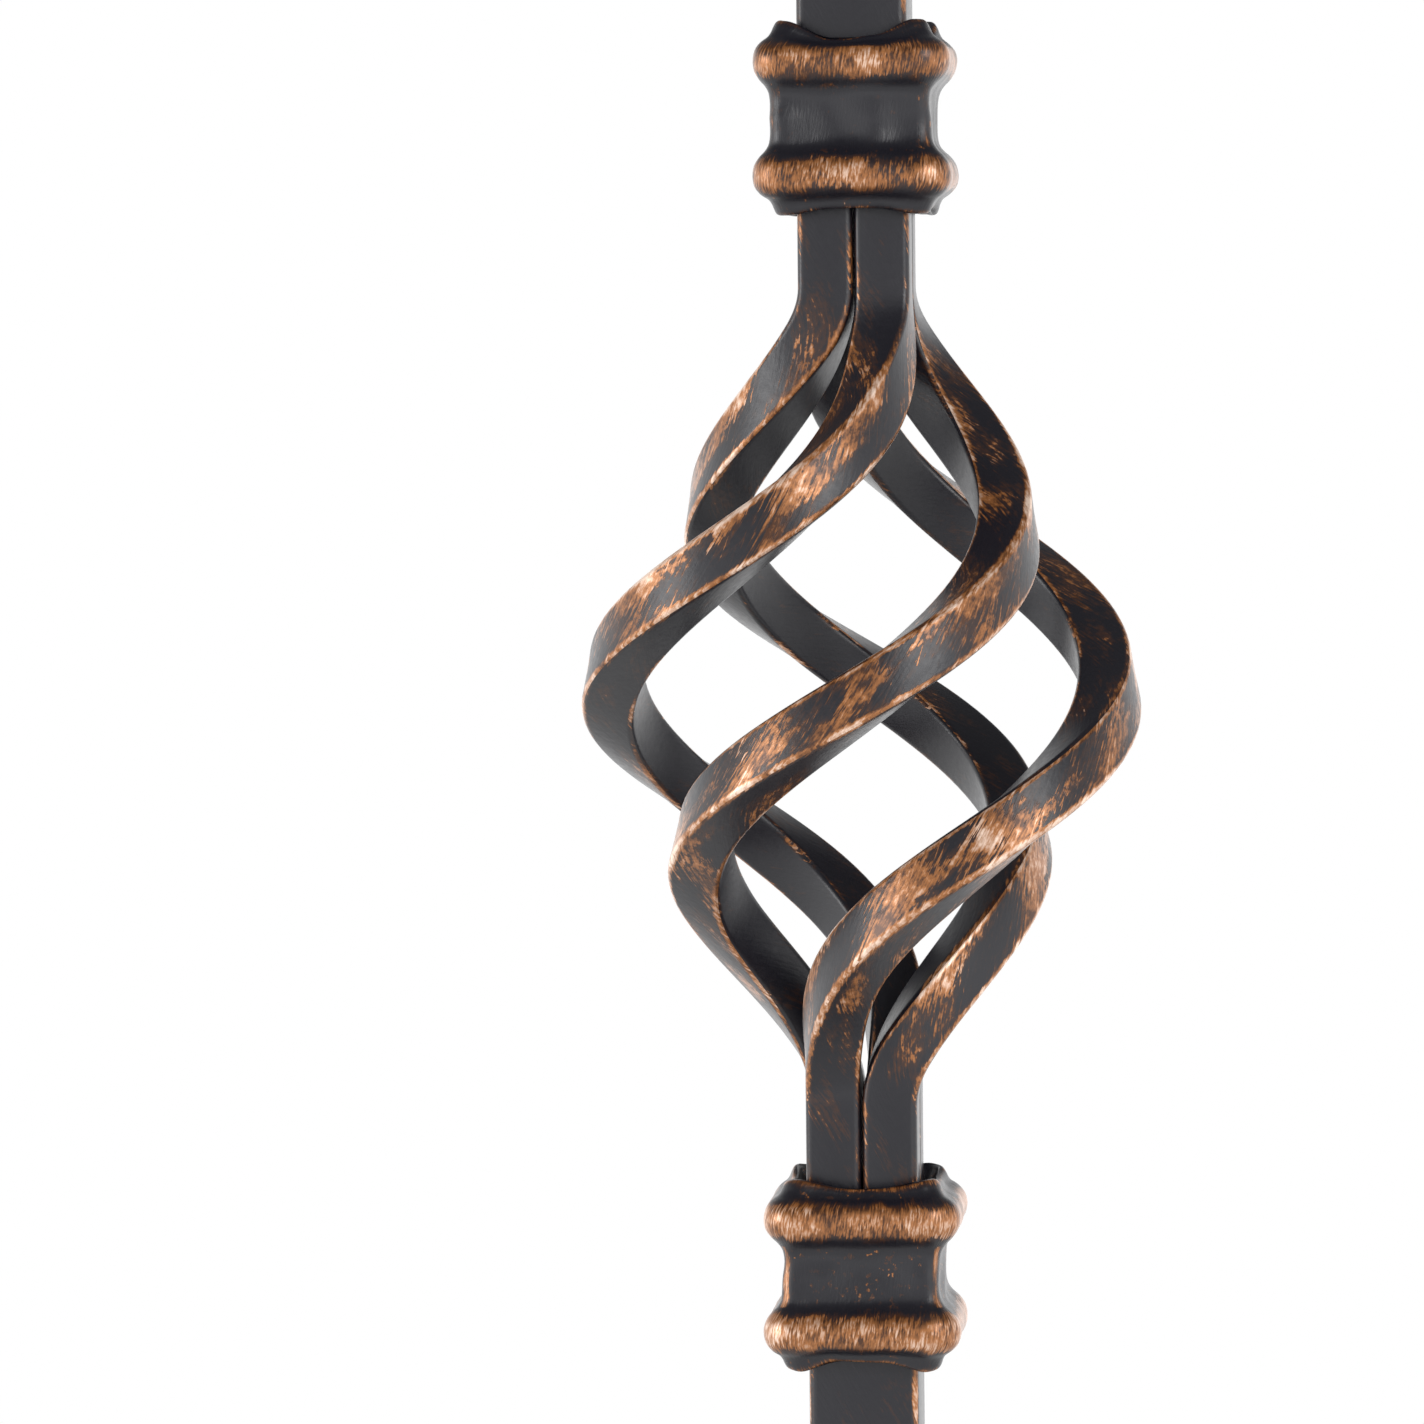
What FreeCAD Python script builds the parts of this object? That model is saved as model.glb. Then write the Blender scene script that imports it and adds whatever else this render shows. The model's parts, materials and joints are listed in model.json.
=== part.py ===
import FreeCAD, Part
import math
import os

import Sketcher

# Iron stair baluster: two twisted square bars, joined by a basket of four bent rods,
# with a cast collar over each weld. Millimetres, +Z up, the foot's end face at Z 0.

# Driving dimensions: name, size, meaning
SIZES = (
    ("total_length", 1117.6, "foot to the top of the dowel"),
    ("bar_side", 12.7, "square bar, flat to flat"),
    ("bar_bevel", 0.7, "bevel along the bar's edges"),
    ("dowel_diameter", 12.0, "turned end that enters the handrail"),
    ("dowel_length", 20.6, "shoulder to the top of the dowel"),
    ("dowel_bevel", 1.1, "bevel of the dowel's top edge"),
    ("shoulder_bevel", 0.8, "drop of the turned shoulder at the bar's corners"),
    ("pin_hole_diameter", 5.0, "cross hole through the dowel"),
    ("pin_hole_drop", 7.3, "top of the dowel to the middle of the cross hole"),
    ("twist_length", 163.0, "length of each twist in the bars"),
    ("twist_turns", 1.0, "turns in each twist"),
    ("lower_twist_start", 307.5, "foot to the start of the lower twist"),
    ("upper_twist_start", 789.5, "foot to the start of the upper twist"),
    ("basket_middle", 636.5, "foot to the middle of the basket"),
    ("weld_offset", 66.7, "middle of the basket to each weld"),
    ("bend_offset", 47.3, "middle of the basket to each bend of the rods"),
    ("basket_radius", 28.8, "axis to the middle of a rod at the widest place"),
    ("basket_fullness", 1.78, "power of the basket's outline, lower is fuller"),
    ("bend_softness", 0.2, "share of the outline that is eased at each bend"),
    ("basket_turn", 270.0, "degrees that each rod winds around the axis"),
    ("turn_easing", 0.06, "share of a turn over which it starts and ends"),
    ("section_turn", 90.0, "degrees that a rod's square section turns beyond the winding"),
    ("section_turn_start", 0.22, "share of the basket's height at which that turn starts"),
    ("rod_side", 6.35, "square rod, flat to flat"),
    ("rod_bevel", 0.6, "bevel along the rod's edges"),
    ("rod_gap", 0.2, "gap between neighbouring rods in the bundle"),
    ("collar_height", 22.2, "height of each cast collar at its corners"),
    ("collar_waist", 18.8, "collar across its waist"),
    ("collar_waist_corner", 1.8, "rounding of the waist's corners"),
    ("collar_rim", 18.2, "collar across its end rims"),
    ("bead_width", 23.5, "collar across its beads"),
    ("bead_radius", 2.85, "radius of a bead's section"),
    ("bead_spacing", 13.4, "middle of one bead to the middle of the other"),
    ("scotia_depth", 0.65, "depth of the hollow between the beads"),
    ("bore_clearance", 0.25, "gap between the collar's bore and the bundle of rods"),
    ("bore_corner", 0.9, "bevel of the bore's corners"),
    ("mouth_width", 16.2, "collar's opening at its ends"),
    ("mouth_depth", 3.0, "depth of the widening at each end of the bore"),
    ("mouth_arch", 1.3, "how far each end of the collar is scooped between its corners"),
)

UPWARD = FreeCAD.Vector(0, 0, 1)
ROD_COUNT = 4
CORNER_STEPS = 3
BASKET_STEPS = 32
SHANK_STEPS = 4
GUIDE_STEPS = 61

doc = FreeCAD.newDocument("iron_stair_baluster")
sheet = doc.addObject("Spreadsheet::Sheet", "sizes")
for row, (alias, size, meaning) in enumerate(SIZES, start=1):
    sheet.set(f"A{row}", alias)
    sheet.set(f"B{row}", str(size))
    sheet.set(f"C{row}", meaning)
    sheet.setAlias(f"B{row}", alias)
doc.recompute()

# Places and sizes that follow from the sheet
LOWER_WELD = "sizes.basket_middle - sizes.weld_offset"
UPPER_WELD = "sizes.basket_middle + sizes.weld_offset"
SHOULDER = "sizes.total_length - sizes.dowel_length"
BUNDLE_SIDE = "2 * sizes.rod_side + sizes.rod_gap"
BORE_SIDE = f"{BUNDLE_SIDE} + 2 * sizes.bore_clearance"
ROD_CENTRE = "(sizes.rod_side + sizes.rod_gap) / 2"
COLLAR_LAP = "sizes.collar_waist / 2 - 0.65 * sizes.collar_waist_corner"


def number(expression):
    """Value of an expression on the sheet."""
    return float(sheet.evalExpression(expression))


def origin_plane(body, role):
    return next(plane for plane in body.Origin.OriginFeatures if plane.Role == role)


def new_body(label):
    body = doc.addObject("PartDesign::Body", label)
    body.Label = label
    return body


def new_sketch(body, name, role, offset="0"):
    """Sketch on one of the body's origin planes, moved along the plane's normal."""
    sketch = body.newObject("Sketcher::SketchObject", name)
    sketch.AttachmentSupport = [(origin_plane(body, role), "")]
    sketch.MapMode = "FlatFace"
    sketch.setExpression("AttachmentOffset.Base.z", offset)
    return sketch


def dimension(sketch, expression, *constraint):
    """Add a sketch constraint whose value is bound to an expression."""
    index = sketch.addConstraint(Sketcher.Constraint(*constraint, number(expression)))
    sketch.setExpression(f"Constraints[{index}]", expression)


def polygon(sketch, places):
    """Closed polygon; each place is a pair of expressions, across and along."""
    points = [FreeCAD.Vector(number(across), number(along), 0) for across, along in places]
    pairs = zip(points, points[1:] + points[:1])
    lines = [sketch.addGeometry(Part.LineSegment(*pair)) for pair in pairs]
    for line, following in zip(lines, lines[1:] + lines[:1]):
        sketch.addConstraint(Sketcher.Constraint("Coincident", line, 2, following, 1))
    for line, (across, along) in zip(lines, places):
        dimension(sketch, across, "DistanceX", -1, 1, line, 1)
        dimension(sketch, along, "DistanceY", -1, 1, line, 1)


def square(sketch, side, corner, steps=1, centre="0", first=()):
    """Square around (centre, centre); each corner is taken off in a number of flat steps."""
    inner = f"(({side}) / 2 - ({corner}))"
    places = list(first)
    for turn, (right, up) in enumerate(((1, 1), (-1, 1), (-1, -1), (1, -1))):
        for step in range(steps + 1):
            angle = math.radians(90 * (turn + step / steps))
            across = f"{centre} + {right} * {inner} + {math.cos(angle):.9f} * ({corner})"
            along = f"{centre} + {up} * {inner} + {math.sin(angle):.9f} * ({corner})"
            places.append((across, along))
    polygon(sketch, places)


def circle(sketch, diameter, across="0", along="0"):
    middle = FreeCAD.Vector(number(across), number(along), 0)
    index = sketch.addGeometry(Part.Circle(middle, UPWARD, number(diameter) / 2))
    dimension(sketch, diameter, "Diameter", index)
    dimension(sketch, across, "DistanceX", -1, 1, index, 3)
    dimension(sketch, along, "DistanceY", -1, 1, index, 3)


def level_edges_at(feature, height):
    """Names of the feature's level edges at one height."""
    level = number(height)
    names = []
    for count, edge in enumerate(feature.Shape.Edges, start=1):
        if all(abs(vertex.Z - level) < 1e-4 for vertex in edge.Vertexes):
            names.append(f"Edge{count}")
    return names


def pad(body, name, sketch, length):
    feature = body.newObject("PartDesign::Pad", name)
    feature.Profile = sketch
    feature.setExpression("Length", length)
    return feature


def pocket_through(body, name, sketch):
    feature = body.newObject("PartDesign::Pocket", name)
    feature.Profile = sketch
    feature.Type = "ThroughAll"
    feature.Midplane = True
    return feature


def pipe(body, name, profile, spine, guide=None):
    """Sweep a profile along a spine; a guide keeps the profile turned towards it."""
    feature = body.newObject("PartDesign::AdditivePipe", name)
    feature.Profile = profile
    feature.Spine = (spine, [f"Edge{count + 1}" for count in range(len(spine.Shape.Edges))])
    feature.Transition = "Right corner"
    if guide:
        feature.Mode = "Auxiliary"
        feature.AuxiliarySpine = (guide, ["Edge1"])
        feature.AuxiliaryCurvilinear = False
    return feature


def straight_bar(body, name, start, end):
    sketch = new_sketch(body, f"{name}_section", "XY_Plane", start)
    square(sketch, "sizes.bar_side", "sizes.bar_bevel")
    return pad(body, name, sketch, f"({end}) - ({start})")


def twisted_bar(body, name, start):
    """One twist of the square bar: its section follows a helix while it runs up the axis."""
    section = new_sketch(body, f"{name}_section", "XY_Plane", start)
    square(section, "sizes.bar_side", "sizes.bar_bevel")
    spine = doc.addObject("Part::Line", f"{name}_spine")
    spine.setExpression("Z1", start)
    spine.setExpression("Z2", f"{start} + sizes.twist_length")
    helix = doc.addObject("Part::Helix", f"{name}_helix")
    helix.setExpression("Radius", "sizes.bar_side")
    helix.setExpression("Pitch", "sizes.twist_length / sizes.twist_turns")
    helix.setExpression("Height", "sizes.twist_length")
    helix.setExpression("Placement.Base.z", start)
    doc.recompute()
    return pipe(body, name, section, spine, helix)


def make_lower_bar():
    body = new_body("lower_bar")
    twist_end = "sizes.lower_twist_start + sizes.twist_length"
    straight_bar(body, "foot_length", "0", "sizes.lower_twist_start")
    twisted_bar(body, "lower_twist", "sizes.lower_twist_start")
    straight_bar(body, "lower_length", twist_end, LOWER_WELD)
    return body


def make_upper_bar():
    body = new_body("upper_bar")
    twist_end = "sizes.upper_twist_start + sizes.twist_length"
    straight_bar(body, "upper_length", UPPER_WELD, "sizes.upper_twist_start")
    twisted_bar(body, "upper_twist", "sizes.upper_twist_start")
    straight_bar(body, "head_length", twist_end, SHOULDER)
    dowel_section = new_sketch(body, "dowel_section", "XY_Plane", SHOULDER)
    circle(dowel_section, "sizes.dowel_diameter")
    pad(body, "dowel", dowel_section, "sizes.dowel_length")
    hole_section = new_sketch(body, "pin_hole_section", "XZ_Plane")
    circle(hole_section, "sizes.pin_hole_diameter", "0", "sizes.total_length - sizes.pin_hole_drop")
    pocket_through(body, "pin_hole", hole_section)
    shoulder = turned_shoulder(body)
    doc.recompute()
    dowel_end = body.newObject("PartDesign::Chamfer", "dowel_end")
    dowel_end.Base = (shoulder, level_edges_at(shoulder, "sizes.total_length"))
    dowel_end.setExpression("Size", "sizes.dowel_bevel")
    return body


def turned_shoulder(body):
    """Cone that the lathe leaves on the square bar's end, sloping away from the dowel."""
    inner = "sizes.dowel_diameter / 2"
    outer = "sizes.bar_side * 0.75"
    heights = (SHOULDER, f"{SHOULDER} - sizes.shoulder_bevel", f"{SHOULDER} + sizes.shoulder_bevel")
    sketch = new_sketch(body, "shoulder_section", "XZ_Plane")
    polygon(sketch, list(zip((inner, outer, outer), heights)))
    groove = body.newObject("PartDesign::Groove", "shoulder")
    groove.Profile = sketch
    groove.ReferenceAxis = (sketch, ["V_Axis"])
    groove.Angle = 360
    return groove


def eased(share, easing):
    """Runs from 0 to 1 with the share, with a soft start and end."""
    share = min(max(share, 0), 1)
    if share < easing:
        done = share ** 2 / (2 * easing)
    elif share > 1 - easing:
        done = 1 - easing - (1 - share) ** 2 / (2 * easing)
    else:
        done = share - easing / 2
    return done / (1 - easing)


def line_through(name, points):
    """Smooth line through points that starts and ends upright."""
    curve = Part.BSplineCurve()
    curve.interpolate(Points=points, InitialTangent=UPWARD, FinalTangent=UPWARD)
    line = doc.addObject("Part::Feature", name)
    line.Shape = curve.toShape()
    return line


def basket_path():
    """Middle line of a rod: straight in the bundle, then out and around the axis in the basket."""
    bundle_radius = number(ROD_CENTRE) * math.sqrt(2)
    swell = number("sizes.basket_radius") - bundle_radius
    power = number("sizes.basket_fullness")
    softness = number("sizes.bend_softness")
    easing = number("sizes.turn_easing")
    turn = math.radians(number("sizes.basket_turn"))
    middle = number("sizes.basket_middle")
    bend = number("sizes.bend_offset")
    weld = number("sizes.weld_offset")

    def outline(share):
        """0 at the bends and 1 in the middle, with a soft start."""
        wave = math.sin(math.pi * share)
        floor = softness ** power
        full = (1 + softness ** 2) ** (power / 2)
        return ((wave ** 2 + softness ** 2) ** (power / 2) - floor) / (full - floor)

    def place(share, height):
        radius = bundle_radius + swell * outline(share)
        angle = math.radians(45) + turn * eased(share, easing)
        return FreeCAD.Vector(radius * math.cos(angle), radius * math.sin(angle), middle + height)

    shank_steps = [weld + (bend - weld) * step / SHANK_STEPS for step in range(SHANK_STEPS)]
    basket_shares = [step / BASKET_STEPS for step in range(BASKET_STEPS + 1)]
    points = [place(0, -height) for height in shank_steps]
    points += [place(share, bend * (2 * share - 1)) for share in basket_shares]
    points += [place(1, height) for height in reversed(shank_steps)]
    return line_through("basket_path", points)


def basket_guide(path):
    """Line beside the path that one edge of the rod follows: it moves around the rod as the section turns."""
    reach = number("sizes.rod_side")
    middle = number("sizes.basket_middle")
    bend = number("sizes.bend_offset")
    start = number("sizes.section_turn_start")
    easing = number("sizes.turn_easing")
    turn = math.radians(number("sizes.section_turn"))
    curve = path.Shape.Curve
    points = []
    for spot in curve.discretize(Number=GUIDE_STEPS):
        along = FreeCAD.Vector(curve.tangent(curve.parameter(spot))[0])
        outward = FreeCAD.Vector(spot.x, spot.y, 0)
        outward = (outward - along * outward.dot(along)).normalize()
        share = 0.5 + (spot.z - middle) / (2 * bend)
        angle = turn * eased((share - start) / (1 - start), easing)
        points.append(spot + (outward * math.cos(angle) + along.cross(outward) * math.sin(angle)) * reach)
    run_out = UPWARD * reach
    return line_through("basket_guide", [points[0] - run_out] + points + [points[-1] + run_out])


def make_basket_rod(index, path, guide):
    """Square rod swept along the path, with its section turned towards the guide."""
    label = f"basket_rod_{index + 1}"
    body = new_body(label)
    section = new_sketch(body, f"{label}_section", "XY_Plane", LOWER_WELD)
    square(section, "sizes.rod_side", "sizes.rod_bevel", centre=ROD_CENTRE)
    pipe(body, f"{label}_sweep", section, path, guide)
    body.Placement.Rotation = FreeCAD.Rotation(UPWARD, index * 360 / ROD_COUNT)
    return body


def collar_profile(body, name):
    """Half section of the collar's moulding: rim, bead, hollow waist, bead, rim."""
    rim = "sizes.collar_rim / 2"
    end = "sizes.collar_height / 2"
    waist = "sizes.collar_waist / 2"
    meeting = f"{waist} + sizes.scotia_depth"
    bead_across = "sizes.bead_width / 2 - sizes.bead_radius"
    bead_along = "sizes.bead_spacing / 2"

    sketch = new_sketch(body, name, "XZ_Plane")
    radius = number("sizes.bead_radius")
    bead_height = number(bead_along)
    rim_angle = math.acos((number(rim) - number(bead_across)) / radius)
    waist_angle = math.acos((number(meeting) - number(bead_across)) / radius)
    rim_height = bead_height + radius * math.sin(rim_angle)
    meeting_height = bead_height - radius * math.sin(waist_angle)

    def point(across, height):
        return FreeCAD.Vector(number(across), height, 0)

    def bead(height, first, last):
        round_section = Part.Circle(point(bead_across, height), UPWARD, radius)
        return sketch.addGeometry(Part.ArcOfCircle(round_section, first, last))

    corners = (
        point(rim, rim_height),
        point(rim, number(end)),
        point(COLLAR_LAP, number(end)),
        point(COLLAR_LAP, -number(end)),
        point(rim, -number(end)),
        point(rim, -rim_height),
    )
    sides = [sketch.addGeometry(Part.LineSegment(*pair)) for pair in zip(corners, corners[1:])]
    upper_rim, top, back, bottom, lower_rim = sides
    lower_bead = bead(-bead_height, -rim_angle, waist_angle)
    deepest = sketch.addGeometry(Part.Point(point(waist, 0)))
    depth = number("sizes.scotia_depth")
    hollow_radius = (meeting_height ** 2 + depth ** 2) / (2 * depth)
    hollow_angle = math.asin(meeting_height / hollow_radius)
    hollow_middle = FreeCAD.Vector(number(waist) + hollow_radius, 0, 0)
    hollow = Part.Circle(hollow_middle, UPWARD, hollow_radius)
    scotia = sketch.addGeometry(Part.ArcOfCircle(hollow, math.pi - hollow_angle, math.pi + hollow_angle))
    upper_bead = bead(bead_height, -waist_angle, rim_angle)

    def meet(first, first_end, second, second_end):
        sketch.addConstraint(Sketcher.Constraint("Coincident", first, first_end, second, second_end))

    def locate(geometry, vertex, across=None, along=None):
        if across:
            dimension(sketch, across, "DistanceX", -1, 1, geometry, vertex)
        if along:
            dimension(sketch, along, "DistanceY", -1, 1, geometry, vertex)

    for side, following in zip(sides, sides[1:]):
        meet(side, 2, following, 1)
    meet(lower_rim, 2, lower_bead, 1)
    meet(upper_bead, 2, upper_rim, 1)
    meet(upper_bead, 1, scotia, 1)
    meet(lower_bead, 2, scotia, 2)
    for side in (upper_rim, lower_rim):
        sketch.addConstraint(Sketcher.Constraint("Vertical", side))
    for side in (top, bottom):
        sketch.addConstraint(Sketcher.Constraint("Horizontal", side))
    locate(top, 1, rim, end)
    locate(bottom, 2, rim, f"-{end}")
    locate(back, 1, COLLAR_LAP)
    locate(back, 2, COLLAR_LAP)
    locate(upper_bead, 3, bead_across, bead_along)
    locate(lower_bead, 3, bead_across, f"-{bead_along}")
    locate(scotia, 1, meeting)
    locate(scotia, 2, meeting)
    locate(deepest, 1, waist, "0")
    sketch.addConstraint(Sketcher.Constraint("PointOnObject", deepest, 1, scotia))
    for round_part in (upper_bead, lower_bead):
        dimension(sketch, "sizes.bead_radius", "Radius", round_part)
    return sketch


def scoop(body, name, role):
    """Cut both ends of the collar to a shallow arch, seen along one horizontal direction."""
    diameter = "((sizes.collar_rim / 2) ^ 2 + sizes.mouth_arch ^ 2) / sizes.mouth_arch"
    middle = f"sizes.collar_height / 2 - sizes.mouth_arch + ({diameter}) / 2"
    sketch = new_sketch(body, f"{name}_arcs", role)
    circle(sketch, diameter, "0", middle)
    circle(sketch, diameter, "0", f"-({middle})")
    return pocket_through(body, name, sketch)


def make_collar(label, height):
    """Cast sleeve, modelled around its own middle and then raised over the weld."""
    body = new_body(label)
    outline = new_sketch(body, f"{label}_outline", "XY_Plane")
    waist_front = ("sizes.collar_waist / 2", "0")
    square(outline, "sizes.collar_waist", "sizes.collar_waist_corner", CORNER_STEPS, first=[waist_front])
    profile = collar_profile(body, f"{label}_profile")
    doc.recompute()
    pipe(body, f"{label}_moulding", profile, outline)

    core_section = new_sketch(body, f"{label}_core_section", "XY_Plane", "-sizes.collar_height / 2")
    core_side = "sizes.collar_waist - 0.9 * sizes.collar_waist_corner"
    square(core_section, core_side, "0.55 * sizes.collar_waist_corner")
    pad(body, f"{label}_core", core_section, "sizes.collar_height")

    bore_section = new_sketch(body, f"{label}_bore_section", "XY_Plane")
    square(bore_section, BORE_SIDE, "sizes.bore_corner")
    pocket_through(body, f"{label}_bore", bore_section)

    mouth_section = new_sketch(body, f"{label}_mouth_section", "XY_Plane", "sizes.collar_height / 2")
    flare = f"(sizes.mouth_width - ({BORE_SIDE})) / 2"
    square(mouth_section, "sizes.mouth_width", f"sizes.bore_corner + (2 - sqrt(2)) * {flare}")
    mouth = body.newObject("PartDesign::Pocket", f"{label}_mouth")
    mouth.Profile = mouth_section
    mouth.setExpression("Length", "sizes.mouth_depth")
    mouth.setExpression("TaperAngle", f"-atan({flare} / sizes.mouth_depth)")
    doc.recompute()
    mirrored = body.newObject("PartDesign::Mirrored", f"{label}_mouths")
    mirrored.Originals = [mouth]
    mirrored.MirrorPlane = (origin_plane(body, "XY_Plane"), [""])
    body.Tip = mirrored
    doc.recompute()

    scoop(body, f"{label}_front_scoop", "XZ_Plane")
    scoop(body, f"{label}_side_scoop", "YZ_Plane")
    body.setExpression("Placement.Base.z", height)
    return body


lower_bar = make_lower_bar()
upper_bar = make_upper_bar()
path = basket_path()
guide = basket_guide(path)
rods = [make_basket_rod(index, path, guide) for index in range(ROD_COUNT)]
ironwork = doc.addObject("Part::Compound", "welded_ironwork")
ironwork.Label = "welded_ironwork"
ironwork.Links = [upper_bar, lower_bar] + rods
upper_collar = make_collar("upper_collar", UPPER_WELD)
lower_collar = make_collar("lower_collar", LOWER_WELD)
doc.recompute()

for made in doc.Objects:
    if "Invalid" in made.State or "Error" in made.State:
        raise RuntimeError(f"{made.Label}: {made.getStatusString()}")
os.makedirs("parts", exist_ok=True)
for node in (ironwork, upper_collar, lower_collar):
    if node.Shape.isNull() or not node.Shape.isValid():
        raise RuntimeError(f"{node.Label} has no valid shape")
    node.Shape.exportStep(f"parts/{node.Label}.step")
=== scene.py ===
import json
import math

import bpy
from mathutils import Matrix, Vector, noise

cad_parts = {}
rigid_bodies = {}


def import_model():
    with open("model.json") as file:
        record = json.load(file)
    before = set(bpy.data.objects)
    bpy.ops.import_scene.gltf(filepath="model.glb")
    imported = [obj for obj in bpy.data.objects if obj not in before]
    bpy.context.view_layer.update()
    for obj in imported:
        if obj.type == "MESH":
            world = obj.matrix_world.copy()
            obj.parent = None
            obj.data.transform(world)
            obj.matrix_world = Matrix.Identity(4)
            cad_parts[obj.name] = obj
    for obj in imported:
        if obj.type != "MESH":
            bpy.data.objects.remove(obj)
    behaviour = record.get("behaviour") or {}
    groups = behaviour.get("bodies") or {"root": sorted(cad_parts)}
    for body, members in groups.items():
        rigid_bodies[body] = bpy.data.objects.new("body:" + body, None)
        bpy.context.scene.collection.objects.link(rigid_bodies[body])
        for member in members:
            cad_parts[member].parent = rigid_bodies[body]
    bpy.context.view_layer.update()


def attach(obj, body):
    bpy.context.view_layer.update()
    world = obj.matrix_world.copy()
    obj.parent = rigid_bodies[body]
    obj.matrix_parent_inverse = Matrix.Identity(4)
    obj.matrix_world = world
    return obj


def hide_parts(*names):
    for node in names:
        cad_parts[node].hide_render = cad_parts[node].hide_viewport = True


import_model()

bl_info = {
    "name": "Iron stair baluster",
    "version": (1, 0, 0),
    "blender": (4, 5, 0),
    "location": "View3D > Sidebar > Baluster",
    "description": "Twisted bars, wound basket rods and cast collars with a black and brushed copper finish",
    "category": "Object",
}

RODS = 4
MILLIMETRES = 1000
SMOOTH_ANGLE = math.radians(40)

# how finely the pieces are divided
CORNER_SEGMENTS = 5
STRAIGHT_STEPS = 8
TWIST_STEPS = 72
SHANK_STEPS = 6
WINDING_STEPS = 120
DOWEL_SIDES = 64
HOLE_SIDES = 40
FLAT_STEPS = 16
CORNER_STEPS = 12
ROW_STEP = 0.001

# where a collar's rims start, as a share of half its height
RIM_START = 0.72
# where a rim rises to its ears and where a corner starts, as shares of the way along half a side
EAR_START = 0.25
EAR_RISE = 0.67
CORNER_START = 0.84
# how far a waist's folds, and the copper on its corners, reach up and down
FOLD_REACH = 0.0055
CORNER_STRIP = 0.0035

SOFT_STEP = {"interpolation_type": "SMOOTHSTEP"}


def linear(hex_colour):
    """sRGB hex value to linear red, green, blue."""
    channels = [int(hex_colour[place:place + 2], 16) / 255 for place in (1, 3, 5)]
    return [c / 12.92 if c <= 0.04045 else ((c + 0.055) / 1.055) ** 2.4 for c in channels]


def length(name, millimetres, description):
    return bpy.props.FloatProperty(
        name=name, description=description, default=millimetres / MILLIMETRES, min=0.0, unit="LENGTH",
        precision=5)


def colour(name, hex_colour, description):
    return bpy.props.FloatVectorProperty(
        name=name, description=description, default=linear(hex_colour), size=3, min=0.0, max=1.0,
        subtype="COLOR")


def factor(name, value, description):
    return bpy.props.FloatProperty(name=name, description=description, default=value, min=0.0)


def rotation(name, degrees, description):
    return bpy.props.FloatProperty(
        name=name, description=description, default=math.radians(degrees), subtype="ANGLE")


class BalusterSizes(bpy.types.PropertyGroup):
    """Sizes of the baluster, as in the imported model."""
    total: length("Total length", 1117.6, "Foot to the top of the dowel")
    bar_side: length("Bar side", 12.7, "Square bar, flat to flat")
    bar_corner: length("Bar edge radius", 1.0, "Rounding along the bar's edges")
    dowel_radius: length("Dowel radius", 6.0, "Turned end that enters the handrail")
    dowel_length: length("Dowel length", 20.6, "Shoulder to the top of the dowel")
    dowel_round: length("Dowel rounding", 1.2, "Rounding of the dowel's top edge")
    shoulder_drop: length("Shoulder drop", 0.8, "Slope of the turned shoulder")
    hole_radius: length("Hole radius", 2.5, "Cross hole through the dowel")
    hole_drop: length("Hole drop", 7.3, "Top of the dowel to the middle of the hole")
    twist_length: length("Twist length", 163.0, "Length of each full twist")
    lower_twist: length("Lower twist", 307.5, "Foot to the start of the lower twist")
    upper_twist: length("Upper twist", 789.5, "Foot to the start of the upper twist")
    middle: length("Basket middle", 636.5, "Foot to the middle of the basket")
    weld: length("Weld offset", 66.7, "Basket middle to each weld")
    bend: length("Bend offset", 47.3, "Basket middle to each bend of the rods")
    basket_radius: length("Basket radius", 28.8, "Axis to the middle of a rod at the widest place")
    rod_side: length("Rod side", 6.35, "Square rod, flat to flat")
    rod_corner: length("Rod edge radius", 0.8, "Rounding along the rod's edges")
    rod_gap: length("Rod gap", 0.2, "Gap between neighbouring rods in the bundle")
    collar_height: length("Collar height", 22.2, "Collar at its corners")
    waist: length("Collar waist", 18.8, "Collar across its waist")
    waist_corner: length("Waist corner", 1.8, "Rounding of the waist's corners")
    rim: length("Collar rim", 18.2, "Collar across its end rims")
    bead: length("Collar bead", 23.5, "Collar across its beads")
    bead_spacing: length("Bead spacing", 13.4, "Middle of one bead to the middle of the other")
    bore: length("Collar bore", 13.4, "Collar's hole across its flats")
    mouth: length("Collar mouth", 16.2, "Collar's opening at its ends")
    mouth_depth: length("Mouth depth", 3.0, "Depth of the widening at each end of the bore")
    arch: length("Rim arch", 1.3, "How far each rim dips between its corners")
    rim_round: length("Rim rounding", 1.6, "How much rounder the rims are than the waist, seen from above")
    fullness: factor("Fullness", 1.78, "Power of the basket's outline")
    softness: factor("Bend softness", 0.2, "Share eased at each bend")
    easing: factor("Turn easing", 0.06, "Share over which the winding starts")
    turn: rotation("Turn", 270, "Angle that each rod winds")
    section_turn: rotation("Section turn", 90, "Angle that a rod's section turns beyond the winding")
    section_start: factor("Section turn start", 0.22, "Share of the basket's height where that turn starts")


class BalusterColours(bpy.types.PropertyGroup):
    """Colours of the finish and the stage."""
    black: colour("Black coating", "#14131B", "Satin powder coating")
    copper: colour("Copper", "#A66A38", "Brushed copper paint")
    copper_dark: colour("Thin copper", "#48270F", "Copper where little of it stayed on the black")
    # bright copper: partly copper that lies thickest, partly a painted pinkish-white highlight
    pale_copper_and_painted_highlight: colour("Bright copper", "#F4D8C4", "Copper where it lies thickest")
    floor: colour("Floor", "#F4F4F3", "Pale floor")


def sizes():
    return bpy.context.scene.baluster_sizes


def colours():
    return bpy.context.scene.baluster_colours


def start_from(name, adder, **settings):
    """Add one primitive with nothing else selected, and name it."""
    bpy.ops.object.select_all(action="DESELECT")
    adder(**settings)
    piece = bpy.context.object
    piece.name = name
    piece.data.name = name
    return piece


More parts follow.
